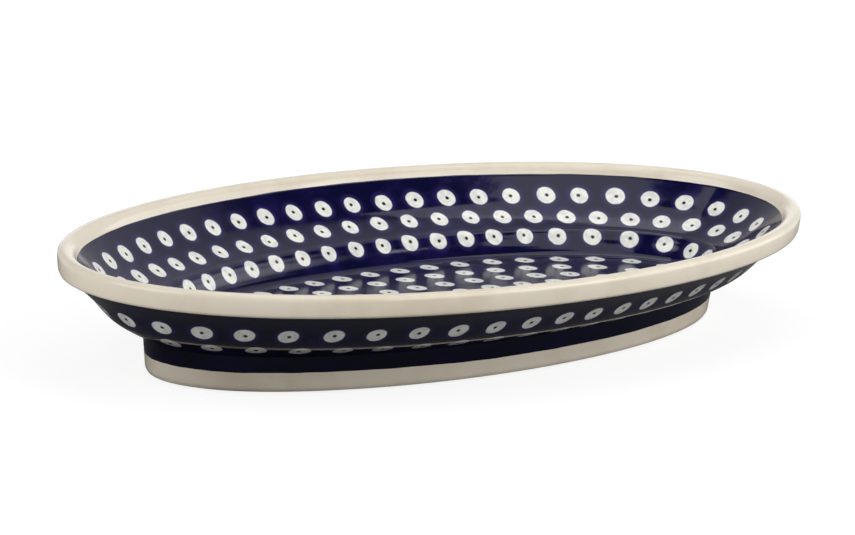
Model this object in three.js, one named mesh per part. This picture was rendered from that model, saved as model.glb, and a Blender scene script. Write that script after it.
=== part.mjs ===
// Oval footed serving platter of glazed stoneware, in millimetres, +Z up.
// The origin is at the centre of the oval, on the surface that the foot stands on.
// +X runs along the platter's length.
// The clay members are luted to each other, and every glaze field is a coat on the clay.

import * as THREE from 'three';

// Overall size
const overallLength = 380;
const overallWidth = 211;
const overallHeight = 49;

// Rim band: a thick flat-faced roll that overhangs the wall on the outside
const rimBandHeight = 9.5;
const rimOverhang = 4.1;
const rimEdgeHeight = 1.5;
const rimFaceLean = 0.6;
const rimBulgeHeight = 7.5;
const rimCrownInset = 3.2;
const rimLipInset = 8.2;
const rimLipDrop = 4.4;

// Well: the flat oval floor inside
const wellLength = 288;
const wellWidth = 115;
const floorHeight = 14.7;
const floorThickness = 6;

// Wall: from the rim's lip down over a shelf and a step to the well
const wallThickness = 5.6;
const kneeThickness = 6.8;

// Foot: a tapered oval ring, measured under the wall, where it is larger than the well
const footLongerThanWell = 19.5;
const footWiderThanWell = 15;
const footTopAboveFloor = 0.9;
const footTaper = 1.4;
const footThickness = 9.5;
const footOuterRadius = 4;
const footInnerRadius = 1.5;
const footCreamHeight = 8.7;
const footBareHeight = 1;

// Coats and joints
const glazeThickness = 0.6;
const glazeClearance = 0.3;
const coatDepth = glazeThickness + glazeClearance;
const fieldGap = 0.3;
const luteGap = 0.3;

// Fineness of the ovals and of the rounded corners
const ovalSegments = 48;
const cornerSteps = 4;
const curveSteps = 2;

// Shape of the rim's inner corner: where its control point lies between crown and lip
const rimCornerShare = 2 / 3;

// The wall's inner curve: each place as a share of the run and of the drop from lip to well
const upperWall = { run: 0.217, drop: 0.264 };
const middleWall = { run: 0.335, drop: 0.402 };
const shelf = { run: 0.463, drop: 0.518 };
const shelfEnd = { run: 0.624, drop: 0.622 };
const shoulder = { run: 0.711, drop: 0.669 };
const stepFace = { run: 0.77, drop: 0.756 };
const wellSide = { run: 0.838, drop: 0.87 };
const wellFillet = { run: 0.907, drop: 0.96 };

// One oval level of the section: half its length, half its width and its height
function level(halfLength, halfWidth, height) {
  return new THREE.Vector3(halfLength, halfWidth, height);
}

// The level that lies a distance in from the outer edge
function insetLevel(distance, height) {
  return level(overallLength / 2 - distance, overallWidth / 2 - distance, height);
}

// A level made larger all round, and raised
function shiftedLevel(from, outward, upward) {
  return level(from.x + outward, from.y + outward, from.z + upward);
}

// The centre of the oval at a height, where a disc's outline starts or ends
function centre(height) {
  return level(0, 0, height);
}

// Outlines run anticlockwise in the plane of radius and height, with the clay on their left.
// This is the unit step to the left of the stretch between two levels.
function leftOf(from, to) {
  const run = (to.x - from.x + to.y - from.y) / 2;
  const rise = to.z - from.z;
  const length = Math.hypot(run, rise);
  return { outward: -rise / length, upward: run / length };
}

// The step to the left at a level of a line that keeps both its stretches at one distance
function mitreOf(line, index) {
  const first = Math.min(Math.max(index, 1), line.length - 1);
  const second = Math.min(index + 1, line.length - 1);
  const arriving = leftOf(line[first - 1], line[first]);
  const leaving = leftOf(line[second - 1], line[second]);
  const scale = 1 + arriving.outward * leaving.outward + arriving.upward * leaving.upward;
  return {
    outward: (arriving.outward + leaving.outward) / scale,
    upward: (arriving.upward + leaving.upward) / scale,
  };
}

// A surface line moved into the clay by a depth
function sunk(line, depth) {
  return line.map((point, index) => {
    const step = mitreOf(line, index);
    return shiftedLevel(point, step.outward * depth, step.upward * depth);
  });
}

// The distance between two levels across the section
function distanceBetween(first, second) {
  const run = (second.x - first.x + second.y - first.y) / 2;
  return Math.hypot(run, second.z - first.z);
}

// A line with a length taken off its start
function withoutStart(line, length) {
  let left = length;
  let index = 0;
  while (distanceBetween(line[index], line[index + 1]) <= left) {
    left -= distanceBetween(line[index], line[index + 1]);
    index += 1;
  }
  const share = left / distanceBetween(line[index], line[index + 1]);
  const start = line[index].clone().lerp(line[index + 1], share);
  return [start, ...line.slice(index + 1)];
}

// A line with half a field gap taken off both ends, where two glaze fields meet
function betweenFields(line) {
  const opened = withoutStart(line, fieldGap / 2).reverse();
  return withoutStart(opened, fieldGap / 2).reverse();
}

// The part of a line on one side of a height, with an end cut level there
function cutLevel(line, height, keeps) {
  const kept = [];
  line.forEach((point, index) => {
    const last = line[index - 1];
    if (last && keeps(last.z) !== keeps(point.z)) {
      const share = (height - last.z) / (point.z - last.z);
      kept.push(last.clone().lerp(point, share));
    }
    if (keeps(point.z)) {
      kept.push(point);
    }
  });
  return kept;
}

function below(line, height) {
  return cutLevel(line, height, (z) => z < height);
}

function above(line, height) {
  return cutLevel(line, height, (z) => z > height);
}

// A rounded corner from one level to another
function roundCorner(from, corner, to) {
  return new THREE.QuadraticBezierCurve3(from, corner, to).getPoints(cornerSteps);
}

// A smooth curve through levels
function smoothLine(points) {
  const curve = new THREE.CatmullRomCurve3(points, false, 'centripetal');
  return curve.getPoints(curveSteps * (points.length - 1));
}

// Lines joined end to end, without the repeated level between them
function joined(...lines) {
  return lines.reduce((all, line) => [...all, ...line.slice(1)]);
}

// Levels that the surfaces of the section share
const rimUnder = insetLevel(rimOverhang, overallHeight - rimBandHeight);
const lipLevel = insetLevel(rimLipInset, overallHeight - rimLipDrop);
const wellEdge = level(wellLength / 2, wellWidth / 2, floorHeight);
const footTop = level(
  (wellLength + footLongerThanWell) / 2,
  (wellWidth + footWiderThanWell) / 2,
  floorHeight + footTopAboveFloor,
);

// Finished surface of the rim, from its underside over the crown to the lip inside
function rimLine() {
  const face = insetLevel(rimFaceLean, rimUnder.z + rimEdgeHeight);
  const bulge = insetLevel(0, rimUnder.z + rimBulgeHeight);
  const bend = insetLevel(0, (face.z + bulge.z) / 2);
  const edge = bend.clone().lerp(face, (bend.z - rimUnder.z) / (bend.z - face.z));
  const crown = insetLevel(rimCrownInset, overallHeight);
  const cornerInset = rimCrownInset + (rimLipInset - rimCrownInset) * rimCornerShare;
  return joined(
    roundCorner(rimUnder, edge, face),
    roundCorner(face, bend, bulge),
    roundCorner(bulge, insetLevel(0, overallHeight), crown),
    roundCorner(crown, insetLevel(cornerInset, overallHeight), lipLevel),
  );
}

// A place on the wall's inner curve, between the lip and the well
function wallPlace(place) {
  const run = lipLevel.clone().lerp(wellEdge, place.run);
  return level(run.x, run.y, lipLevel.z + (wellEdge.z - lipLevel.z) * place.drop);
}

// Finished surface inside the wall, from the lip down to the edge of the well's floor.
// The curve is led on to the mirror image of its last place, so that it runs out level.
function innerWallLine() {
  const upper = [upperWall, middleWall, shelf, shelfEnd].map(wallPlace);
  const lower = [shoulder, stepFace, wellSide, wellFillet].map(wallPlace);
  const last = lower[lower.length - 1];
  const mirrored = level(2 * wellEdge.x - last.x, 2 * wellEdge.y - last.y, last.z);
  const line = smoothLine([lipLevel, ...upper, ...lower, wellEdge, mirrored]);
  return line.slice(0, line.length - curveSteps);
}

// Finished surface outside the wall, from the foot up to the rim's underside
function outerWallLine() {
  const inner = [lipLevel, ...[upperWall, shelf, stepFace].map(wallPlace)];
  const [, high] = sunk(inner, wallThickness);
  const [, , knee] = sunk(inner, kneeThickness);
  return smoothLine([footTop, knee, high, rimUnder]);
}

// A level on the foot's tapered outer face
function footFace(height) {
  const share = (footTop.z - height) / (footTop.z - footOuterRadius);
  return shiftedLevel(footTop, -footTaper * share, height - footTop.z);
}

// Finished rounding of the foot's lower edge, from the standing face up to the tapered face
function footEdgeLine() {
  const faceEnd = footFace(footOuterRadius);
  const corner = shiftedLevel(faceEnd, 0, -footOuterRadius);
  const standing = shiftedLevel(corner, -footOuterRadius, 0);
  return roundCorner(standing, corner, faceEnd);
}

// Levels on the inside of the foot
const footInside = shiftedLevel(footFace(footOuterRadius), -footThickness, -footOuterRadius);
const underHeight = floorHeight - floorThickness;

// Heights where the clay members meet
const slabTop = floorHeight - coatDepth;
const slabBottom = underHeight + coatDepth;
const rimSeat = rimUnder.z + coatDepth;

// An oval solid turned from its outline. The outline closes on itself, or starts and ends at the
// centre, and every point of the turned profile is spread onto the oval of its level.
function ovalSolid(outline) {
  const profile = outline.map((point) => new THREE.Vector2(point.y, point.z));
  const geometry = new THREE.LatheGeometry(profile, ovalSegments);
  const position = geometry.getAttribute('position');
  for (let index = 0; index < position.count; index += 1) {
    const point = outline[index % outline.length];
    const turn = (2 * Math.PI * Math.floor(index / outline.length)) / ovalSegments;
    position.setXYZ(index, point.x * Math.cos(turn), point.y * Math.sin(turn), point.z);
  }
  geometry.computeVertexNormals();
  return geometry;
}

// A ring whose outline closes on itself
function ovalRing(outline) {
  return ovalSolid([...outline, outline[0]]);
}

// A coat that follows a finished surface line
function coat(line) {
  return ovalRing([...line, ...sunk(line, glazeThickness).reverse()]);
}

// A level disc that is flat above and below
function ovalDisc(edgeBelow, edgeAbove) {
  return ovalSolid([centre(edgeBelow.z), edgeBelow, edgeAbove, centre(edgeAbove.z)]);
}

// The oval slab that the wall stands on and the foot is luted under
function floorSlab() {
  const lower = shiftedLevel(footFace(slabBottom), -coatDepth, 0);
  const upper = shiftedLevel(footFace(slabTop), -coatDepth, 0);
  return ovalDisc(lower, upper);
}

// The flared wall, from the slab up to the rim's seat
function wallFlare() {
  const base = slabTop + luteGap;
  const top = rimSeat - luteGap;
  const outer = sunk([footFace(base), ...outerWallLine()], coatDepth);
  const inner = sunk(innerWallLine(), coatDepth);
  return ovalRing([...below(outer, top), ...above(below(inner, top), base)]);
}

// The rolled rim, seated on the wall
function rimRoll() {
  const roll = sunk(rimLine(), coatDepth);
  const inner = sunk(innerWallLine(), coatDepth);
  return ovalRing([...roll, ...above(inner, rimSeat).slice(1)]);
}

// The foot ring, luted under the slab, with a bare standing face
function footRing() {
  const top = slabBottom - luteGap;
  const outer = sunk(joined(footCreamLine(), footCobaltLine()), coatDepth);
  const standing = shiftedLevel(footEdgeLine()[0], -coatDepth, 0);
  const innerEdge = shiftedLevel(footInside, 0, footInnerRadius);
  const innerCorner = roundCorner(innerEdge, footInside, shiftedLevel(footInside, footInnerRadius, 0));
  const innerTop = shiftedLevel(footInside, 0, top);
  return ovalRing([...innerCorner, standing, ...below(outer, top), innerTop]);
}

// Finished surface of the foot's cream band, from just above the standing face
function footCreamLine() {
  return [...above(footEdgeLine(), footBareHeight), footFace(footCreamHeight)];
}

// Finished surface of the foot's cobalt band, up to the wall
function footCobaltLine() {
  return [footFace(footCreamHeight), footTop];
}

// The cobalt coat over the floor of the well
function wellGlaze() {
  const edge = shiftedLevel(wellEdge, -fieldGap / 2, 0);
  return ovalDisc(shiftedLevel(edge, 0, -glazeThickness), edge);
}

// The cream coat under the floor, inside the foot
function undersideGlaze() {
  const edge = shiftedLevel(footInside, -fieldGap, underHeight);
  return ovalDisc(edge, shiftedLevel(edge, 0, glazeThickness));
}

const clay = { color: 0xcdbb9c, roughness: 0.85, metalness: 0 };
const cobalt = { color: 0x14104a, roughness: 0.12, metalness: 0 };
const cream = { color: 0xe6dfcc, roughness: 0.2, metalness: 0 };

// Every piece with its finish
const pieces = {
  floor_slab: [floorSlab(), clay],
  wall_flare: [wallFlare(), clay],
  rim_roll: [rimRoll(), clay],
  foot_ring: [footRing(), clay],
  well_glaze: [wellGlaze(), cobalt],
  inner_wall_glaze: [coat(betweenFields(innerWallLine())), cobalt],
  outer_wall_glaze: [coat(betweenFields(outerWallLine())), cobalt],
  foot_cobalt_glaze: [coat(betweenFields(footCobaltLine())), cobalt],
  rim_glaze: [coat(betweenFields(rimLine())), cream],
  foot_cream_glaze: [coat(betweenFields(footCreamLine())), cream],
  underside_glaze: [undersideGlaze(), cream],
};

const platter = new THREE.Group();
for (const [name, [geometry, finish]] of Object.entries(pieces)) {
  const mesh = new THREE.Mesh(geometry, new THREE.MeshStandardMaterial(finish));
  mesh.name = name;
  platter.add(mesh);
}

export default platter;
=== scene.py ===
import math
import random

import bpy
import numpy as np
from mathutils import Matrix, Vector


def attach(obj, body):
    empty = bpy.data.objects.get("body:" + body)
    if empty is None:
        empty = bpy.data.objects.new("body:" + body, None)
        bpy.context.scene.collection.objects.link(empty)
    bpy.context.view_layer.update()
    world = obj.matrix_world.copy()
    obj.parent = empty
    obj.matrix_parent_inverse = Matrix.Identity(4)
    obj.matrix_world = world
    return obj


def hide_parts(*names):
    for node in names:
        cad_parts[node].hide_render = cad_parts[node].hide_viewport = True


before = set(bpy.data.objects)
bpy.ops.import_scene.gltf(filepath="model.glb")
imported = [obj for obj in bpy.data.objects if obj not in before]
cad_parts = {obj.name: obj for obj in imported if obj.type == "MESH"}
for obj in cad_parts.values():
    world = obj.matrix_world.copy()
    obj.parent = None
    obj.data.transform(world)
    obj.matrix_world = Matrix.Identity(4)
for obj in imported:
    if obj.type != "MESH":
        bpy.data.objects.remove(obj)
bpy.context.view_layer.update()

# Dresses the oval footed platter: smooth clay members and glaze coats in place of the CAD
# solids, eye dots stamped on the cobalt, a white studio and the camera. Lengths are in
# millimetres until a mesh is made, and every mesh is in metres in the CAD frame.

MM = 0.001
SEED = 7

# Section of the platter, from the same sizes as the CAD solids
OVERALL_LENGTH = 380.0
OVERALL_WIDTH = 211.0
OVERALL_HEIGHT = 49.0
RIM_BAND_HEIGHT = 9.5
RIM_OVERHANG = 4.1
RIM_EDGE_HEIGHT = 1.5
RIM_FACE_LEAN = 0.6
RIM_BULGE_HEIGHT = 7.5
RIM_CROWN_INSET = 3.2
RIM_LIP_INSET = 8.2
RIM_LIP_DROP = 4.4
RIM_CORNER_SHARE = 2 / 3
WELL_LENGTH = 288.0
WELL_WIDTH = 115.0
FLOOR_HEIGHT = 14.7
FLOOR_THICKNESS = 6.0
WALL_THICKNESS = 5.6
KNEE_THICKNESS = 6.8
FOOT_LONGER_THAN_WELL = 19.5
FOOT_WIDER_THAN_WELL = 15.0
FOOT_TOP_ABOVE_FLOOR = 0.9
FOOT_TAPER = 1.4
FOOT_THICKNESS = 9.5
FOOT_OUTER_RADIUS = 4.0
FOOT_INNER_RADIUS = 1.5
FOOT_CREAM_HEIGHT = 8.7
FOOT_BARE_HEIGHT = 1.0
GLAZE_THICKNESS = 0.6
COAT_DEPTH = 0.9
FIELD_GAP = 0.3
LUTE_GAP = 0.3

# Places on the wall's inner curve, as shares of the run and of the drop from lip to well
UPPER_WALL = (0.217, 0.264)
MIDDLE_WALL = (0.335, 0.402)
SHELF = (0.463, 0.518)
SHELF_END = (0.624, 0.622)
SHOULDER = (0.711, 0.669)
STEP_FACE = (0.77, 0.756)
WELL_SIDE = (0.838, 0.87)
WELL_FILLET = (0.907, 0.96)

# Fineness of the visible meshes
OVAL_SEGMENTS = 480
CLAY_SEGMENTS = 192
CURVE_STEPS = 40
CORNER_STEPS = 16
COAT_STEP = 1.1
COAT_ROWS_LEAST = 4
FLOOR_RINGS = 64
UNDERSIDE_RINGS = 16
CLAY_SHARP_ANGLE = 35
OVAL_SAMPLES = 4001
STAMP_BATCHES = 64

# Rows of stamped eye dots: how many go round the oval, the share of a pitch that the first lies
# past +X, the dot's radius, and the slow drift of the hand along the row and across it. A drift is
# (millimetres, waves round the oval, turn in degrees where it is greatest).
STEADY = (0.0, 1, 0)
ROW_UPPER = dict(count=51, first=0.12, radius=4.25, along=(2.5, 2, -10), across=STEADY)
ROW_SHELF = dict(count=51, first=0.564, radius=4.15, along=(4.0, 2, -35), across=(0.8, 4, 28))
ROW_STEP = dict(count=47, first=0.952, radius=4.1, along=(1.8, 5, -24), across=(1.6, 2, -19))
ROW_OUTER_HIGH = dict(count=48, first=0.03, radius=4.3, along=(1.1, 5, -34), across=STEADY)
ROW_OUTER_LOW = dict(count=45, first=0.323, radius=4.3, along=STEADY, across=STEADY)

# Insets of the two outside rows from the platter's outer edge
OUTER_HIGH_INSET = 16.0
OUTER_LOW_INSET = 26.2

# Oval rows on the floor of the well: half length, half width, count and first place. A straight
# row lies in the middle.
FLOOR_DOT_RADIUS = 4.25
FLOOR_ROWS = (
    (139.8, 54.6, 39, 0.09),
    (121.3, 40.5, 33, 0.171),
    (101.0, 26.3, 27, 0.037),
    (80.0, 12.6, 20, 0.5),
)
FLOOR_MIDDLE_COUNT = 7
FLOOR_MIDDLE_PITCH = 16.4

# How far a hand-held stamp strays from its row, and how much the dots differ in size
DOT_WANDER = 0.3
DOT_SIZE_SPREAD = 0.04

# How far the brushed edge between two glazes strays, and in how many waves round the oval
BRUSH_WANDER = 0.35
BRUSH_WAVES = (2, 3, 5, 8, 13, 21, 34, 55)


def level(half_length, half_width, height):
    return np.array([half_length, half_width, height], float)


def inset_level(distance, height):
    return level(OVERALL_LENGTH / 2 - distance, OVERALL_WIDTH / 2 - distance, height)


def shifted(point, outward, upward):
    return np.asarray(point, float) + np.array([outward, outward, upward])


def section_of(line):
    """The line in the plane of radius and height, one row per level."""
    line = np.asarray(line, float)
    return np.stack([(line[:, 0] + line[:, 1]) / 2, line[:, 2]], -1)


def distances(line):
    """How far along the section each level lies."""
    steps = np.linalg.norm(np.diff(section_of(line), axis=0), axis=1)
    return np.concatenate([[0.0], np.cumsum(steps)])


def tangents_of(line):
    flat = section_of(line)
    run = np.gradient(flat, axis=0)
    return run / np.linalg.norm(run, axis=1)[:, None]


def sunk(line, depth):
    """The line moved into the clay, which lies on its left."""
    line = np.asarray(line, float)
    steps = np.diff(section_of(line), axis=0)
    steps /= np.linalg.norm(steps, axis=1)[:, None]
    left = np.stack([-steps[:, 1], steps[:, 0]], -1)
    before = np.concatenate([left[:1], left])
    after = np.concatenate([left, left[-1:]])
    scale = 1 + (before * after).sum(1)
    mitre = (before + after) / scale[:, None] * depth
    return line + mitre[:, [0, 0, 1]]


def round_corner(start, corner, end):
    t = np.linspace(0, 1, CORNER_STEPS + 1)[:, None]
    return (1 - t) ** 2 * start + 2 * t * (1 - t) * corner + t**2 * end


def smooth_line(points):
    """A centripetal Catmull-Rom curve through the levels."""
    points = [np.asarray(p, float) for p in points]
    ends = [2 * points[0] - points[1], *points, 2 * points[-1] - points[-2]]
    t = np.linspace(0, 1, CURVE_STEPS + 1)[:, None]
    line = []
    for p0, p1, p2, p3 in zip(ends, ends[1:], ends[2:], ends[3:]):
        k0, k1, k2 = (math.sqrt(np.linalg.norm(b - a)) for a, b in ((p0, p1), (p1, p2), (p2, p3)))
        m1 = ((p1 - p0) / k0 - (p2 - p0) / (k0 + k1) + (p2 - p1) / k1) * k1
        m2 = ((p2 - p1) / k1 - (p3 - p1) / (k1 + k2) + (p3 - p2) / k2) * k1
        square, cube = t**2, t**3
        curve = (2 * cube - 3 * square + 1) * p1 + (cube - 2 * square + t) * m1
        curve = curve + (3 * square - 2 * cube) * p2 + (cube - square) * m2
        line.append(curve[1:] if line else curve)
    return np.concatenate(line)


def joined(*lines):
    return np.concatenate([lines[0]] + [line[1:] for line in lines[1:]])


def level_at(line, place):
    """The level a distance along a line."""
    along = distances(line)
    return np.stack([np.interp(place, along, line[:, i]) for i in range(3)], -1)


RIM_UNDER = inset_level(RIM_OVERHANG, OVERALL_HEIGHT - RIM_BAND_HEIGHT)
LIP = inset_level(RIM_LIP_INSET, OVERALL_HEIGHT - RIM_LIP_DROP)
WELL_EDGE = level(WELL_LENGTH / 2, WELL_WIDTH / 2, FLOOR_HEIGHT)
FOOT_TOP = level(
    (WELL_LENGTH + FOOT_LONGER_THAN_WELL) / 2,
    (WELL_WIDTH + FOOT_WIDER_THAN_WELL) / 2,
    FLOOR_HEIGHT + FOOT_TOP_ABOVE_FLOOR,
)


def wall_place(place):
    run, drop = place
    point = LIP + (WELL_EDGE - LIP) * run
    point[2] = LIP[2] + (WELL_EDGE[2] - LIP[2]) * drop
    return point


def rim_line():
    face = inset_level(RIM_FACE_LEAN, RIM_UNDER[2] + RIM_EDGE_HEIGHT)
    bulge = inset_level(0, RIM_UNDER[2] + RIM_BULGE_HEIGHT)
    bend = inset_level(0, (face[2] + bulge[2]) / 2)
    edge = face + (face - bend) * RIM_EDGE_HEIGHT / (bend[2] - face[2])
    crown = inset_level(RIM_CROWN_INSET, OVERALL_HEIGHT)
    corner = RIM_CROWN_INSET + (RIM_LIP_INSET - RIM_CROWN_INSET) * RIM_CORNER_SHARE
    return joined(
        round_corner(RIM_UNDER, edge, face),
        round_corner(face, bend, bulge),
        round_corner(bulge, inset_level(0, OVERALL_HEIGHT), crown),
        round_corner(crown, inset_level(corner, OVERALL_HEIGHT), LIP),
    )


def inner_wall_line():
    upper = [wall_place(p) for p in (UPPER_WALL, MIDDLE_WALL, SHELF, SHELF_END)]
    lower = [wall_place(p) for p in (SHOULDER, STEP_FACE, WELL_SIDE, WELL_FILLET)]
    last = lower[-1]
    mirrored = level(2 * WELL_EDGE[0] - last[0], 2 * WELL_EDGE[1] - last[1], last[2])
    line = smooth_line([LIP, *upper, *lower, WELL_EDGE, mirrored])
    return line[:-CURVE_STEPS]


def outer_wall_line():
    inner = [LIP] + [wall_place(p) for p in (UPPER_WALL, SHELF, STEP_FACE)]
    high = sunk(inner, WALL_THICKNESS)[1]
    knee = sunk(inner, KNEE_THICKNESS)[2]
    return smooth_line([FOOT_TOP, knee, high, RIM_UNDER])


def foot_face(height):
    share = (FOOT_TOP[2] - height) / (FOOT_TOP[2] - FOOT_OUTER_RADIUS)
    return shifted(FOOT_TOP, -FOOT_TAPER * share, height - FOOT_TOP[2])


def foot_edge_line():
    face_end = foot_face(FOOT_OUTER_RADIUS)
    corner = shifted(face_end, 0, -FOOT_OUTER_RADIUS)
    standing = shifted(corner, -FOOT_OUTER_RADIUS, 0)
    return round_corner(standing, corner, face_end)


def cut_at_height(line, height, upper):
    """The part of a rising or falling line above or below a height."""
    kept = []
    for index, point in enumerate(line):
        if index:
            last = line[index - 1]
            if (last[2] > height) != (point[2] > height):
                share = (height - last[2]) / (point[2] - last[2])
                kept.append(last + (point - last) * share)
        if (point[2] > height) == upper:
            kept.append(point)
    return np.array(kept)


FOOT_INSIDE = shifted(foot_face(FOOT_OUTER_RADIUS), -FOOT_THICKNESS, -FOOT_OUTER_RADIUS)
UNDER_HEIGHT = FLOOR_HEIGHT - FLOOR_THICKNESS
SLAB_TOP = FLOOR_HEIGHT - COAT_DEPTH
SLAB_BOTTOM = UNDER_HEIGHT + COAT_DEPTH
RIM_SEAT = RIM_UNDER[2] + COAT_DEPTH


def turns(count):
    return np.linspace(0, 2 * math.pi, count, endpoint=False)


def brush_edge():
    """How far a hand-drawn edge strays along the section at each turn of the oval."""
    turn = turns(OVAL_SEGMENTS)
    edge = np.zeros(OVAL_SEGMENTS)
    for waves in BRUSH_WAVES:
        edge += math.sqrt(1 / waves) * np.sin(waves * turn + rng.uniform(0, 2 * math.pi))
    return edge / np.abs(edge).max() * BRUSH_WANDER


def make_object(name, vertices, faces, normals=None):
    """A smooth object, with the normals given or with edges kept sharp where they bend much."""
    mesh = bpy.data.meshes.new(name)
    mesh.from_pydata((np.asarray(vertices) * MM).tolist(), [], faces)
    mesh.validate()
    mesh.shade_smooth()
    if normals is None:
        mesh.set_sharp_from_angle(angle=math.radians(CLAY_SHARP_ANGLE))
    else:
        mesh.normals_split_custom_set_from_vertices(normals.tolist())
    obj = bpy.data.objects.new(name, mesh)
    bpy.context.scene.collection.objects.link(obj)
    return obj


def spread(levels, count):
    """Levels, one row of them per turn or the same for all, as points round the oval."""
    turn = turns(count)[:, None]
    levels = np.broadcast_to(levels, (count,) + levels.shape[-2:])
    x = levels[:, :, 0] * np.cos(turn)
    y = levels[:, :, 1] * np.sin(turn)
    return np.stack([x, y, levels[:, :, 2]], -1)


def ring_faces(count, rows, closed):
    """Faces round the oval between rows of points, turned outwards."""
    faces = []
    last = rows if closed else rows - 1
    for i in range(count):
        here, there = i * rows, (i + 1) % count * rows
        for j in range(last):
            k = (j + 1) % rows
            faces.append((here + j, there + j, there + k, here + k))
    return faces


def clay_ring(name, outline):
    """A ring of clay whose outline closes on itself."""
    points = spread(np.asarray(outline), CLAY_SEGMENTS)
    faces = ring_faces(CLAY_SEGMENTS, len(outline), True)
    return make_object(name, points.reshape(-1, 3), faces)


def oval_disc(name, outline, count):
    """A disc whose outline starts and ends at the centre."""
    outline = np.asarray(outline)
    rows = len(outline) - 2
    points = spread(outline[1:-1], count).reshape(-1, 3)
    vertices = np.concatenate([points, outline[:1] * [0, 0, 1], outline[-1:] * [0, 0, 1]])
    faces = ring_faces(count, rows, False)
    low, high = len(points), len(points) + 1
    for i in range(count):
        here, there = i * rows, (i + 1) % count * rows
        faces.append((low, there, here))
        faces.append((high, here + rows - 1, there + rows - 1))
    return make_object(name, vertices, faces)


def coat(name, line, start, end):
    """A coat on a stretch of the finished surface. start and end are how far along the line it
    reaches at each turn of the oval."""
    along = distances(line)
    under = sunk(line, GLAZE_THICKNESS)
    tangent = tangents_of(line)
    start = np.broadcast_to(start, OVAL_SEGMENTS)
    end = np.broadcast_to(end, OVAL_SEGMENTS)
    rows = max(COAT_ROWS_LEAST, math.ceil((end.max() - start.min()) / COAT_STEP) + 1)
    place = start[:, None] + (end - start)[:, None] * np.linspace(0, 1, rows)
    outer = np.stack([np.interp(place, along, line[:, i]) for i in range(3)], -1)
    inner = np.stack([np.interp(place, along, under[:, i]) for i in range(3)], -1)
    slope = np.stack([np.interp(place, along, tangent[:, i]) for i in range(2)], -1)
    slope /= np.linalg.norm(slope, axis=-1)[..., None]
    turn = turns(OVAL_SEGMENTS)[:, None]
    outward = np.stack([outer[:, :, 1] * np.cos(turn), outer[:, :, 0] * np.sin(turn)], -1)
    outward /= np.linalg.norm(outward, axis=-1)[..., None]
    normal = np.concatenate([outward * slope[..., 1:], -slope[..., :1]], -1)
    outside = spread(outer, OVAL_SEGMENTS)
    inside = spread(inner[:, ::-1], OVAL_SEGMENTS)
    points = np.concatenate([outside, inside], 1)
    normals = np.concatenate([normal, -normal[:, ::-1]], 1)
    faces = ring_faces(OVAL_SEGMENTS, 2 * rows, True)
    return make_object(name, points.reshape(-1, 3), faces, normals.reshape(-1, 3))


def floor_coat(name):
    """The level coat over the floor of the well, in rings small enough to carry the dots."""
    shares = np.linspace(0, 1, FLOOR_RINGS + 1)[1:, None]
    top = np.concatenate([WELL_EDGE[:2] * shares, np.full((FLOOR_RINGS, 1), FLOOR_HEIGHT)], 1)
    bottom = shifted(WELL_EDGE, 0, -GLAZE_THICKNESS)
    centre_low = level(0, 0, bottom[2])
    centre_high = level(0, 0, FLOOR_HEIGHT)
    return oval_disc(name, [centre_low, bottom, *top[::-1], centre_high], OVAL_SEGMENTS)


# Finished surface as one line: up the foot, out along the wall, over the rim and down inside
foot_line = np.concatenate([cut_at_height(foot_edge_line(), FOOT_BARE_HEIGHT, True), [FOOT_TOP]])
outer_line = outer_wall_line()
rim = rim_line()
inner_line = inner_wall_line()
rim_and_wall = joined(rim, inner_line)
rim_end = distances(rim)[-1]
wall_end = distances(rim_and_wall)[-1]
outer_end = distances(outer_line)[-1]
foot_end = distances(foot_line)[-1]
foot_colour_edge = np.interp(FOOT_CREAM_HEIGHT, foot_line[:, 2], distances(foot_line))

rng = random.Random(SEED)
lip_edge = rim_end + brush_edge()
foot_edge = foot_colour_edge + brush_edge()

pieces = {}
pieces["rim_glaze"] = coat("platter_rim_glaze", rim_and_wall, 0.0, lip_edge)
pieces["inner_wall_glaze"] = coat("platter_inner_wall_glaze", rim_and_wall, lip_edge, wall_end)
pieces["well_glaze"] = floor_coat("platter_well_glaze")
pieces["outer_wall_glaze"] = coat("platter_outer_wall_glaze", outer_line, 0.0, outer_end)
pieces["foot_cobalt_glaze"] = coat("platter_foot_cobalt_glaze", foot_line, foot_edge, foot_end)
pieces["foot_cream_glaze"] = coat("platter_foot_cream_glaze", foot_line, 0.0, foot_edge)


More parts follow.
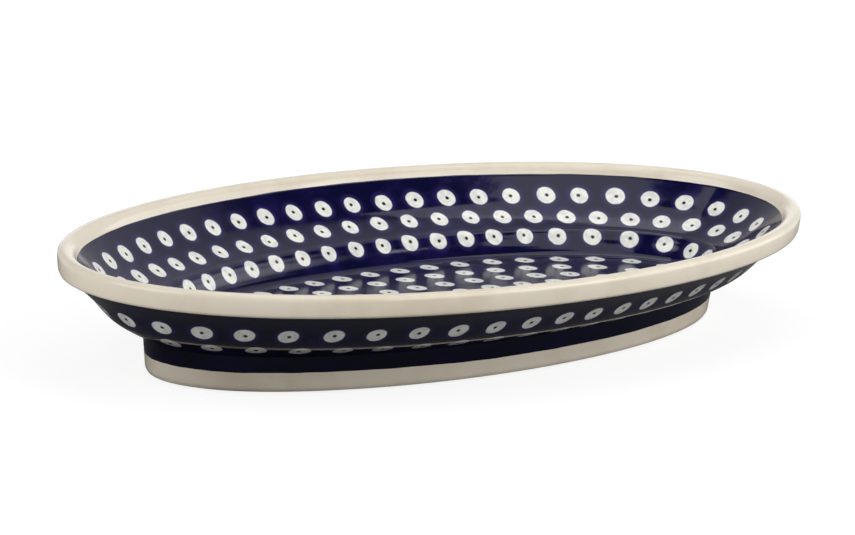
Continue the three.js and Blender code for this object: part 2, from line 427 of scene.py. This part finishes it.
def clay_members():
    """The four clay members under the coats, luted to each other."""
    outer = sunk(np.concatenate([[foot_face(SLAB_TOP + LUTE_GAP)], outer_line]), COAT_DEPTH)
    inner = sunk(inner_line, COAT_DEPTH)
    top = RIM_SEAT - LUTE_GAP
    base = SLAB_TOP + LUTE_GAP
    wall_inner = cut_at_height(cut_at_height(inner, top, False), base, True)
    wall = np.concatenate([cut_at_height(outer, top, False), wall_inner])
    roll = np.concatenate([sunk(rim, COAT_DEPTH), cut_at_height(inner, RIM_SEAT, True)[1:]])
    foot_outer = cut_at_height(sunk(foot_line, COAT_DEPTH), SLAB_BOTTOM - LUTE_GAP, False)
    inner_edge = shifted(FOOT_INSIDE, 0, FOOT_INNER_RADIUS)
    inner_start = shifted(FOOT_INSIDE, FOOT_INNER_RADIUS, 0)
    inside = round_corner(inner_edge, FOOT_INSIDE, inner_start)
    standing = shifted(foot_edge_line()[0], -COAT_DEPTH, 0)
    inner_top = shifted(FOOT_INSIDE, 0, SLAB_BOTTOM - LUTE_GAP)
    foot = np.concatenate([inside, [standing], foot_outer, [inner_top]])
    slab_low = shifted(foot_face(SLAB_BOTTOM), -COAT_DEPTH, 0)
    slab_high = shifted(foot_face(SLAB_TOP), -COAT_DEPTH, 0)
    slab = [level(0, 0, SLAB_BOTTOM), slab_low, slab_high, level(0, 0, SLAB_TOP)]
    pieces["wall_flare"] = clay_ring("platter_wall_flare", wall)
    pieces["rim_roll"] = clay_ring("platter_rim_roll", roll)
    pieces["foot_ring"] = clay_ring("platter_foot_ring", foot)
    pieces["floor_slab"] = oval_disc("platter_floor_slab", slab, CLAY_SEGMENTS)


def underside_coat(name):
    """The level coat under the floor, inside the foot."""
    edge = shifted(FOOT_INSIDE, -FIELD_GAP, UNDER_HEIGHT)
    above = shifted(edge, 0, GLAZE_THICKNESS)
    shares = np.linspace(0, 1, UNDERSIDE_RINGS + 1)[1:, None]
    bottom = np.concatenate([edge[:2] * shares, np.full((UNDERSIDE_RINGS, 1), edge[2])], 1)
    centre_low = level(0, 0, edge[2])
    centre_high = level(0, 0, above[2])
    return oval_disc(name, [centre_low, *bottom, above, centre_high], CLAY_SEGMENTS)


clay_members()
pieces["underside_glaze"] = underside_coat("platter_underside_glaze")


def drifted(drift, turn):
    """How far a slow drift of the hand has gone at a turn of the oval."""
    amount, waves, greatest = drift
    return amount * np.cos(waves * (turn - math.radians(greatest)))


def oval_places(half_length, half_width, row):
    """Turns of the oval that lie about one pitch apart along it."""
    fine = np.linspace(0, 2 * math.pi, OVAL_SAMPLES)
    points = np.stack([half_length * np.cos(fine), half_width * np.sin(fine)], -1)
    along = np.concatenate([[0], np.cumsum(np.linalg.norm(np.diff(points, axis=0), axis=1))])
    pitch = along[-1] / row["count"]
    even = (np.arange(row["count"]) + row["first"]) * pitch
    stray = np.array([rng.uniform(-DOT_WANDER, DOT_WANDER) for _ in even])
    places = even + stray + drifted(row["along"], np.interp(even, along, fine, period=along[-1]))
    return np.interp(np.mod(places, along[-1]), along, fine)


def dot_at(point, tangent, turn, radius):
    """One dot on a level of the surface: centre, along the row, up the surface, radius."""
    cosine, sine = math.cos(turn), math.sin(turn)
    outward = np.array([point[1] * cosine, point[0] * sine, 0.0])
    outward /= np.linalg.norm(outward)
    up = outward * tangent[0] + np.array([0, 0, tangent[1]])
    along = np.array([-outward[1], outward[0], 0.0])
    centre = np.array([point[0] * cosine, point[1] * sine, point[2]])
    return centre, along, up, radius


def wall_dots(line, place, row):
    """Dots round the oval a distance along a line, each on the slope where it lies."""
    along = distances(line)
    tangent = tangents_of(line)
    middle = level_at(line, place)
    dots = []
    for turn in oval_places(middle[0], middle[1], row):
        mine = place + drifted(row["across"], turn) + rng.uniform(-DOT_WANDER, DOT_WANDER)
        slope = [np.interp(mine, along, tangent[:, i]) for i in range(2)]
        dots.append(dot_at(level_at(line, mine), slope, turn, row["radius"]))
    return dots


def place_of(line, inset):
    """How far along an outer line its level with that inset from the outer edge lies."""
    return np.interp(-inset, line[:, 0] - OVERALL_LENGTH / 2, distances(line))


def floor_dots():
    """Dots on the floor of the well: oval rows, and a straight row in the middle."""
    dots = []
    for half_length, half_width, count, first in FLOOR_ROWS:
        point = level(half_length, half_width, FLOOR_HEIGHT)
        row = dict(count=count, first=first, along=STEADY)
        for turn in oval_places(half_length, half_width, row):
            stray = rng.uniform(-DOT_WANDER, DOT_WANDER)
            dots.append(dot_at(shifted(point, stray, 0), (1, 0), turn, FLOOR_DOT_RADIUS))
    for i in range(FLOOR_MIDDLE_COUNT):
        x = (i - (FLOOR_MIDDLE_COUNT - 1) / 2) * FLOOR_MIDDLE_PITCH
        centre = np.array([x, rng.uniform(-DOT_WANDER, DOT_WANDER), FLOOR_HEIGHT])
        dots.append((centre, np.array([1.0, 0, 0]), np.array([0, 1.0, 0]), FLOOR_DOT_RADIUS))
    return dots


def stamp(obj, dots):
    """Gives every face corner its place on the nearest dot, in dot radii, and the dot's own
    random number."""
    mesh = obj.data
    corners = np.empty(len(mesh.loops), np.int64)
    mesh.loops.foreach_get("vertex_index", corners)
    points = np.empty(len(mesh.vertices) * 3)
    mesh.vertices.foreach_get("co", points)
    points = points.reshape(-1, 3)[corners] / MM
    counts = np.empty(len(mesh.polygons), np.int64)
    mesh.polygons.foreach_get("loop_total", counts)
    owner = np.repeat(np.arange(len(counts)), counts)
    middles = np.zeros((len(counts), 3))
    np.add.at(middles, owner, points)
    middles /= counts[:, None]
    centres, along, up, radius = (np.array([d[i] for d in dots]) for i in range(4))
    batches = np.array_split(middles, STAMP_BATCHES)
    nearest = [((batch[:, None] - centres) ** 2).sum(-1).argmin(1) for batch in batches]
    draw = np.array([rng.random() for _ in dots])
    size = radius * (1 + DOT_SIZE_SPREAD * (2 * draw - 1))
    mine = np.concatenate(nearest)[owner]
    away = points - centres[mine]
    across = (away * along[mine]).sum(1) / size[mine]
    upward = (away * up[mine]).sum(1) / size[mine]
    local = np.stack([across, upward, draw[mine]], -1)
    layer = mesh.attributes.new("stamp", "FLOAT_VECTOR", "CORNER")
    layer.data.foreach_set("vector", local.astype(np.float32).ravel())


def nearest_place(line, point):
    """How far along a line its level nearest to a point lies."""
    away = np.linalg.norm(section_of(line) - section_of([point]), axis=1)
    return distances(line)[away.argmin()]


inside_dots = []
for place, row in ((UPPER_WALL, ROW_UPPER), (SHELF, ROW_SHELF), (STEP_FACE, ROW_STEP)):
    inside_dots += wall_dots(inner_line, nearest_place(inner_line, wall_place(place)), row)
inside_dots += floor_dots()
outside_dots = []
for inset, row in ((OUTER_HIGH_INSET, ROW_OUTER_HIGH), (OUTER_LOW_INSET, ROW_OUTER_LOW)):
    outside_dots += wall_dots(outer_line, place_of(outer_line, inset), row)
stamp(pieces["inner_wall_glaze"], inside_dots)
stamp(pieces["well_glaze"], inside_dots)
stamp(pieces["outer_wall_glaze"], outside_dots)


class Nodes:
    """Short ways to add shader nodes to one material."""

    def __init__(self, name):
        self.material = bpy.data.materials.new(name)
        self.material.use_nodes = True
        self.tree = self.material.node_tree
        self.tree.nodes.clear()

    def add(self, kind, **values):
        node = self.tree.nodes.new(kind)
        for key, value in values.items():
            setattr(node, key, value)
        return node

    def link(self, source, target):
        self.tree.links.new(source, target)

    def feed(self, socket, value):
        if isinstance(value, bpy.types.NodeSocket):
            self.link(value, socket)
        else:
            socket.default_value = value

    def math(self, operation, a, b=0.0, c=0.0):
        node = self.add("ShaderNodeMath", operation=operation)
        for socket, value in zip(node.inputs, (a, b, c)):
            self.feed(socket, value)
        return node.outputs[0]

    def length(self, a, b):
        squares = self.math("MULTIPLY_ADD", a, a, self.math("MULTIPLY", b, b))
        return self.math("SQRT", squares)

    def ramp(self, value, low, high, at_low=0.0, at_high=1.0):
        node = self.add("ShaderNodeMapRange", interpolation_type="SMOOTHSTEP")
        for socket, number in zip(node.inputs, (value, low, high, at_low, at_high)):
            self.feed(socket, number)
        return node.outputs[0]

    def mix(self, share, first, second):
        node = self.add("ShaderNodeMix", data_type="RGBA")
        self.feed(node.inputs[0], share)
        self.feed(node.inputs[6], first)
        self.feed(node.inputs[7], second)
        return node.outputs[2]

    def noise(self, vector, scale, detail=3.0, roughness=0.5):
        node = self.add("ShaderNodeTexNoise")
        self.link(vector, node.inputs["Vector"])
        node.inputs["Scale"].default_value = scale
        node.inputs["Detail"].default_value = detail
        node.inputs["Roughness"].default_value = roughness
        return node

    def object_place(self):
        return self.add("ShaderNodeTexCoord").outputs["Object"]

    def bump(self, height, strength, distance):
        node = self.add("ShaderNodeBump")
        node.inputs["Strength"].default_value = strength
        node.inputs["Distance"].default_value = distance
        self.link(height, node.inputs["Height"])
        return node.outputs["Normal"]

    def surface(self, **values):
        shader = self.add("ShaderNodeBsdfPrincipled")
        for key, value in values.items():
            self.feed(shader.inputs[key.replace("_", " ")], value)
        out = self.add("ShaderNodeOutputMaterial")
        self.link(shader.outputs[0], out.inputs[0])
        return shader


# Colours
COBALT_DEEP = (0.0014, 0.0014, 0.028, 1)
COBALT_THIN = (0.008, 0.005, 0.06, 1)
# The foot band's cobalt is painted darker than the walls' cobalt: painted shade for the shade under
# the overhanging wall.
COBALT_PAINTED_SHADE = (0.001, 0.001, 0.014, 1)
COBALT_HALO = (0.018, 0.015, 0.085, 1)
DOT_WHITE = (0.88, 0.88, 0.82, 1)
DOT_GREY = (0.74, 0.74, 0.72, 1)
EYE_DARK = (0.02, 0.018, 0.012, 1)
CREAM = (0.81, 0.735, 0.605, 1)
CREAM_WARM = (0.73, 0.645, 0.505, 1)
SPECK = (0.34, 0.25, 0.16, 1)
CLAY = (0.62, 0.53, 0.4, 1)
CLAY_DARK = (0.5, 0.41, 0.3, 1)

# Gloss of the glaze on the walls, in the well and on the cream fields
WALL_ROUGHNESS = 0.07
WALL_SHINE = 0.5
WELL_ROUGHNESS = 0.14
WELL_SHINE = 0.28
CREAM_ROUGHNESS = 0.12

# Hollows in the glaze: noise scales, the share of the fine ones, bump strength and depth in metres
WAVE_WIDE = 45.0
WAVE_FINE = 260.0
WAVE_FINE_SHARE = 0.12
GLAZE_BUMP = (0.12, 0.001)

# Thin patches in the cobalt: noise scale, and the noise levels where they start and are full
PATCH_SCALE = 60.0
PATCH_RANGE = (0.45, 0.75)

# Eye dots, in dot radii: the uneven edge, the soft halo round it, and the eye with its stray
DOT_NOISE_SCALE = 330.0
DOT_UNEVEN = (0.14, 0.14, 0.0)
DOT_EDGE = (0.93, 1.05)
DOT_GREY_RANGE = (0.4, 0.65)
HALO_EDGE = (0.98, 1.7)
EYE_EDGE = (0.14, 0.27)
EYE_STRAY_ALONG = 0.24
EYE_STRAY_UP = 0.2
DRAW_SHUFFLE = 37.0

# Cream clouds and specks: noise scales, noise levels, and how strong the specks are
CREAM_CLOUD_SCALE = 35.0
CREAM_CLOUD_RANGE = (0.42, 0.72)
CREAM_SPECK_SCALE = 1500.0
CREAM_SPECK_RANGE = (0.72, 0.8)
CREAM_SPECK_SHARE = 0.55

# Bare clay: clouds, grain, roughness from smooth to coarse grain, bump strength and depth
CLAY_CLOUD_SCALE = 90.0
CLAY_CLOUD_RANGE = (0.35, 0.7)
CLAY_GRAIN_SCALE = 2200.0
CLAY_GRAIN_RANGE = (0.62, 0.8)
CLAY_GRAIN_SHARE = 0.5
CLAY_GRAIN_SPAN = (0.2, 0.8)
CLAY_ROUGHNESS = (0.75, 0.92)
CLAY_BUMP = (0.3, 0.0002)


def glaze_wave(nodes, place):
    """Soft hollows in the glaze, a few centimetres across, and finer ones."""
    wide = nodes.noise(place, WAVE_WIDE, 2.0)
    fine = nodes.noise(place, WAVE_FINE, 2.0)
    return nodes.math("MULTIPLY_ADD", fine.outputs[0], WAVE_FINE_SHARE, wide.outputs[0])


def cobalt_ground(nodes, place, deep, thin):
    """Cobalt that was brushed on: deep, with thinner patches."""
    patches = nodes.noise(place, PATCH_SCALE, 4.0, 0.6)
    return nodes.mix(nodes.ramp(patches.outputs[0], *PATCH_RANGE), deep, thin)


def dotted(nodes, place, ground):
    """White eye dots with a thin halo, stamped on the cobalt ground."""
    layer = nodes.add("ShaderNodeAttribute", attribute_name="stamp").outputs["Vector"]
    uneven = nodes.noise(place, DOT_NOISE_SCALE, 2.0)
    centred = nodes.add("ShaderNodeVectorMath", operation="SUBTRACT")
    nodes.link(uneven.outputs["Color"], centred.inputs[0])
    centred.inputs[1].default_value = (0.5, 0.5, 0.5)
    strayed = nodes.add("ShaderNodeVectorMath", operation="MULTIPLY_ADD")
    nodes.link(centred.outputs[0], strayed.inputs[0])
    strayed.inputs[1].default_value = DOT_UNEVEN
    nodes.link(layer, strayed.inputs[2])
    parts = nodes.add("ShaderNodeSeparateXYZ")
    nodes.link(strayed.outputs[0], parts.inputs[0])
    across, upward, draw = parts.outputs
    radius = nodes.length(across, upward)
    colour = nodes.mix(nodes.ramp(radius, *HALO_EDGE, 1.0, 0.0), ground, COBALT_HALO)
    white = nodes.mix(nodes.ramp(uneven.outputs[0], *DOT_GREY_RANGE), DOT_WHITE, DOT_GREY)
    colour = nodes.mix(nodes.ramp(radius, *DOT_EDGE, 1.0, 0.0), colour, white)
    left = nodes.math("SUBTRACT", across, EYE_STRAY_ALONG / 2)
    eye_across = nodes.math("MULTIPLY_ADD", draw, EYE_STRAY_ALONG, left)
    other = nodes.math("FRACT", nodes.math("MULTIPLY", draw, DRAW_SHUFFLE))
    low = nodes.math("SUBTRACT", upward, EYE_STRAY_UP / 2)
    eye_upward = nodes.math("MULTIPLY_ADD", other, EYE_STRAY_UP, low)
    eye = nodes.ramp(nodes.length(eye_across, eye_upward), *EYE_EDGE, 1.0, 0.0)
    return nodes.mix(eye, colour, EYE_DARK)


def cobalt_material(name, stamped, roughness, shine):
    nodes = Nodes(name)
    place = nodes.object_place()
    if stamped:
        colour = dotted(nodes, place, cobalt_ground(nodes, place, COBALT_DEEP, COBALT_THIN))
    else:
        # Unstamped ground of the foot band: the darker cobalt here is painted shade under the
        # overhanging wall.
        colour = cobalt_ground(nodes, place, COBALT_PAINTED_SHADE, COBALT_DEEP)
    bump = nodes.bump(glaze_wave(nodes, place), *GLAZE_BUMP)
    nodes.surface(Base_Color=colour, Roughness=roughness, Specular_IOR_Level=shine, Normal=bump)
    return nodes.material


def cream_material(name):
    nodes = Nodes(name)
    place = nodes.object_place()
    cloud = nodes.noise(place, CREAM_CLOUD_SCALE, 4.0, 0.6)
    colour = nodes.mix(nodes.ramp(cloud.outputs[0], *CREAM_CLOUD_RANGE), CREAM, CREAM_WARM)
    noise = nodes.noise(place, CREAM_SPECK_SCALE, 2.0)
    specks = nodes.ramp(noise.outputs[0], *CREAM_SPECK_RANGE, 0.0, CREAM_SPECK_SHARE)
    colour = nodes.mix(specks, colour, SPECK)
    bump = nodes.bump(glaze_wave(nodes, place), *GLAZE_BUMP)
    nodes.surface(Base_Color=colour, Roughness=CREAM_ROUGHNESS, Normal=bump)
    return nodes.material


def clay_material(name):
    nodes = Nodes(name)
    place = nodes.object_place()
    cloud = nodes.noise(place, CLAY_CLOUD_SCALE, 5.0, 0.65)
    grain = nodes.noise(place, CLAY_GRAIN_SCALE, 2.0, 0.6).outputs[0]
    colour = nodes.mix(nodes.ramp(cloud.outputs[0], *CLAY_CLOUD_RANGE), CLAY, CLAY_DARK)
    specks = nodes.ramp(grain, *CLAY_GRAIN_RANGE, 0.0, CLAY_GRAIN_SHARE)
    colour = nodes.mix(specks, colour, SPECK)
    rough = nodes.ramp(grain, *CLAY_GRAIN_SPAN, *CLAY_ROUGHNESS)
    nodes.surface(Base_Color=colour, Roughness=rough, Normal=nodes.bump(grain, *CLAY_BUMP))
    return nodes.material


finishes = {
    "cobalt_glaze": cobalt_material("stamped_cobalt_glaze", True, WALL_ROUGHNESS, WALL_SHINE),
    "well_cobalt": cobalt_material("stamped_well_glaze", True, WELL_ROUGHNESS, WELL_SHINE),
    "painted_shade_cobalt": cobalt_material("painted_shade_cobalt_glaze", False, WALL_ROUGHNESS, WALL_SHINE),
    "cream_glaze": cream_material("cream_glaze_over_clay"),
    "clay": clay_material("bare_stoneware"),
}
slots = {
    "floor_slab": "clay",
    "wall_flare": "clay",
    "rim_roll": "clay",
    "foot_ring": "clay",
    "well_glaze": "cobalt_glaze",
    "inner_wall_glaze": "cobalt_glaze",
    "outer_wall_glaze": "cobalt_glaze",
    "foot_cobalt_glaze": "cobalt_glaze",
    "rim_glaze": "cream_glaze",
    "foot_cream_glaze": "cream_glaze",
    "underside_glaze": "cream_glaze",
}
# The foot band gets the darker cobalt, which is painted shade under the wall's overhang.
own_finish = {"well_glaze": "well_cobalt", "foot_cobalt_glaze": "painted_shade_cobalt"}
for node, piece in pieces.items():
    slot = slots[node]
    piece.data.materials.append(finishes[own_finish.get(node, slot)])
    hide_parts(node)
    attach(piece, "root")


# Studio floor, in metres: its size and how far it lies below the standing face. It bounces light
# with a dim colour, and shows the camera its glow with a shaded colour that keeps the shadow. The
# glaze mirrors a share of that look, and a share lights the platter. Each share rises between two
# distances from the platter's centre, so close round the platter the floor carries a painted
# shadow: the glaze mirrors it, and it lights the platter less there.
FLOOR_SIZE = 60.0
FLOOR_DROP = 0.0001
FLOOR_BOUNCE = (0.13, 0.13, 0.13, 1)
FLOOR_GLOW = 0.85
FLOOR_SHADED = (0.22, 0.22, 0.22, 1)
FLOOR_MIRRORED_FROM = (0.25, 0.6)
FLOOR_MIRRORED = (0.02, 0.6)
FLOOR_LIT_FROM = (0.14, 0.36)
FLOOR_LIT = (0.05, 1.0)
ROOM_LIGHT = 0.05

# Pale walls: turn from the camera, elevation, angle from middle to edge, light. Their edges are
# soft over an angle to both sides.
WALL_EDGE = 4
PALE_WALLS = (
    (188, 20, 53, 0.4),
    (180, -2, 16, 0.6),
    (-53, 33, 26, 2.8),
    (105, 4, 33, 1.8),
)

# Softboxes overhead: how far right and away they hang as seen from the camera, turn, width, depth
# and light
OVERHEAD_HEIGHT = 1.3
OVERHEADS = {
    "overhead_softbox": (0.1, 0.426, -25.8, 1.195, 0.92, 1.05),
    "front_softbox": (0.585, -0.35, 0, 1.15, 0.42, 1.0),
}

# Key softbox: turn from the camera, elevation, distance, width, height, light
KEY_TURN = 66
KEY_ELEVATION = 28
KEY_DISTANCE = 1.9
KEY_WIDTH = 1.7
KEY_HEIGHT = 1.3
KEY_LIGHT = 2.8


def studio_floor():
    """A wide floor just clear of the standing face. It shows white to the camera. It lights the
    platter little from close by, under a painted shadow for its shade, and more from farther off."""
    half = FLOOR_SIZE / 2
    corners = [(x * half, y * half, -FLOOR_DROP) for x, y in ((-1, -1), (1, -1), (1, 1), (-1, 1))]
    mesh = bpy.data.meshes.new("studio_floor")
    mesh.from_pydata(corners, [], [(0, 1, 2, 3)])
    floor = bpy.data.objects.new("studio_floor", mesh)
    bpy.context.scene.collection.objects.link(floor)
    nodes = Nodes("studio_floor")
    path = nodes.add("ShaderNodeLightPath")
    seen = nodes.math("MAXIMUM", path.outputs["Is Camera Ray"], path.outputs["Is Transmission Ray"])
    clear = nodes.add("ShaderNodeVectorMath", operation="LENGTH")
    nodes.link(nodes.object_place(), clear.inputs[0])
    mirrored = nodes.ramp(clear.outputs["Value"], *FLOOR_MIRRORED_FROM, *FLOOR_MIRRORED)
    seen = nodes.math("MULTIPLY_ADD", path.outputs["Is Glossy Ray"], mirrored, seen)
    lit = nodes.ramp(clear.outputs["Value"], *FLOOR_LIT_FROM, *FLOOR_LIT)
    seen = nodes.math("MULTIPLY_ADD", path.outputs["Is Diffuse Ray"], lit, seen)
    bounce = nodes.add("ShaderNodeBsdfDiffuse")
    bounce.inputs["Color"].default_value = FLOOR_BOUNCE
    shaded = nodes.add("ShaderNodeBsdfDiffuse")
    shaded.inputs["Color"].default_value = FLOOR_SHADED
    glow = nodes.add("ShaderNodeEmission")
    glow.inputs["Strength"].default_value = FLOOR_GLOW
    both = nodes.add("ShaderNodeAddShader")
    nodes.link(shaded.outputs[0], both.inputs[0])
    nodes.link(glow.outputs[0], both.inputs[1])
    choice = nodes.add("ShaderNodeMixShader")
    nodes.link(seen, choice.inputs[0])
    nodes.link(bounce.outputs[0], choice.inputs[1])
    nodes.link(both.outputs[0], choice.inputs[2])
    out = nodes.add("ShaderNodeOutputMaterial")
    nodes.link(choice.outputs[0], out.inputs[0])
    mesh.materials.append(nodes.material)


# Camera: where it stands round the platter, its lens, and where it aims beside the target
CAMERA_AZIMUTH = -44.6
CAMERA_ELEVATION = 12.78
CAMERA_DISTANCE = 1.9808
CAMERA_LENS = 198.9
CAMERA_ROLL = 3.49
CAMERA_TARGET = Vector((0, 0, 0.0279))
AIM_RIGHT = -0.0058
AIM_UP = 0.0023


def toward(azimuth, elevation):
    """The direction to a place round the platter. Azimuth 0 is the side of -Y."""
    a, e = math.radians(azimuth), math.radians(elevation)
    return Vector((math.sin(a) * math.cos(e), -math.cos(a) * math.cos(e), math.sin(e)))


def studio_camera():
    data = bpy.data.cameras.new("studio_camera")
    data.sensor_width = 36.0
    data.lens = CAMERA_LENS
    data.clip_end = 50.0
    camera = bpy.data.objects.new("studio_camera", data)
    bpy.context.scene.collection.objects.link(camera)
    back = toward(CAMERA_AZIMUTH, CAMERA_ELEVATION)
    place = CAMERA_TARGET + back * CAMERA_DISTANCE
    level_turn = (-back).to_track_quat("-Z", "Y").to_matrix()
    roll = level_turn @ Matrix.Rotation(math.radians(CAMERA_ROLL), 3, "Z")
    aim = CAMERA_TARGET + roll @ Vector((AIM_RIGHT, AIM_UP, 0))
    turned = (aim - place).to_track_quat("-Z", "Y").to_matrix()
    turned = turned @ Matrix.Rotation(math.radians(CAMERA_ROLL), 3, "Z")
    camera.matrix_world = Matrix.Translation(place) @ turned.to_4x4()
    bpy.context.scene.camera = camera


def softbox(name, place, facing, width, height, radiance):
    """A rectangular lamp whose face has the given radiance, whatever its size."""
    light = bpy.data.lights.new(name, "AREA")
    light.shape = "RECTANGLE"
    light.size = width
    light.size_y = height
    light.energy = radiance * math.pi * width * height
    lamp = bpy.data.objects.new(name, light)
    bpy.context.scene.collection.objects.link(lamp)
    lamp.location = CAMERA_TARGET + place
    lamp.rotation_mode = "QUATERNION"
    lamp.rotation_quaternion = facing


def studio_world():
    """A dim room with round pale fields, which stand for its white walls."""
    world = bpy.data.worlds.new("studio")
    world.use_nodes = True
    tree = world.node_tree
    place = tree.nodes.new("ShaderNodeTexCoord").outputs["Generated"]
    light = ROOM_LIGHT
    for turn, elevation, reach, strength in PALE_WALLS:
        facing = tree.nodes.new("ShaderNodeVectorMath")
        facing.operation = "DOT_PRODUCT"
        tree.links.new(place, facing.inputs[0])
        facing.inputs[1].default_value = toward(CAMERA_AZIMUTH + turn, elevation)
        edge = tree.nodes.new("ShaderNodeMapRange")
        edge.interpolation_type = "SMOOTHSTEP"
        tree.links.new(facing.outputs["Value"], edge.inputs["Value"])
        edge.inputs["From Min"].default_value = math.cos(math.radians(reach + WALL_EDGE))
        edge.inputs["From Max"].default_value = math.cos(math.radians(reach - WALL_EDGE))
        edge.inputs["To Max"].default_value = strength
        total = tree.nodes.new("ShaderNodeMath")
        tree.links.new(edge.outputs["Result"], total.inputs[0])
        if isinstance(light, float):
            total.inputs[1].default_value = light
        else:
            tree.links.new(light, total.inputs[1])
        light = total.outputs[0]
    background = tree.nodes["Background"]
    background.inputs["Color"].default_value = (1, 1, 1, 1)
    tree.links.new(light, background.inputs["Strength"])
    bpy.context.scene.world = world


def studio_light():
    studio_world()
    away = toward(CAMERA_AZIMUTH + 180, 0)
    right = toward(CAMERA_AZIMUTH + 90, 0)
    for name, (rightward, backward, turn, width, depth, light) in OVERHEADS.items():
        place = right * rightward + away * backward + Vector((0, 0, OVERHEAD_HEIGHT))
        facing = Matrix.Rotation(math.radians(CAMERA_AZIMUTH + turn), 3, "Z").to_quaternion()
        softbox(name, place, facing, width, depth, light)
    back = toward(CAMERA_AZIMUTH + KEY_TURN, KEY_ELEVATION)
    facing = (-back).to_track_quat("-Z", "Y")
    softbox("key_softbox", back * KEY_DISTANCE, facing, KEY_WIDTH, KEY_HEIGHT, KEY_LIGHT)


studio_floor()
studio_camera()
studio_light()
bpy.context.scene.view_settings.view_transform = "Standard"
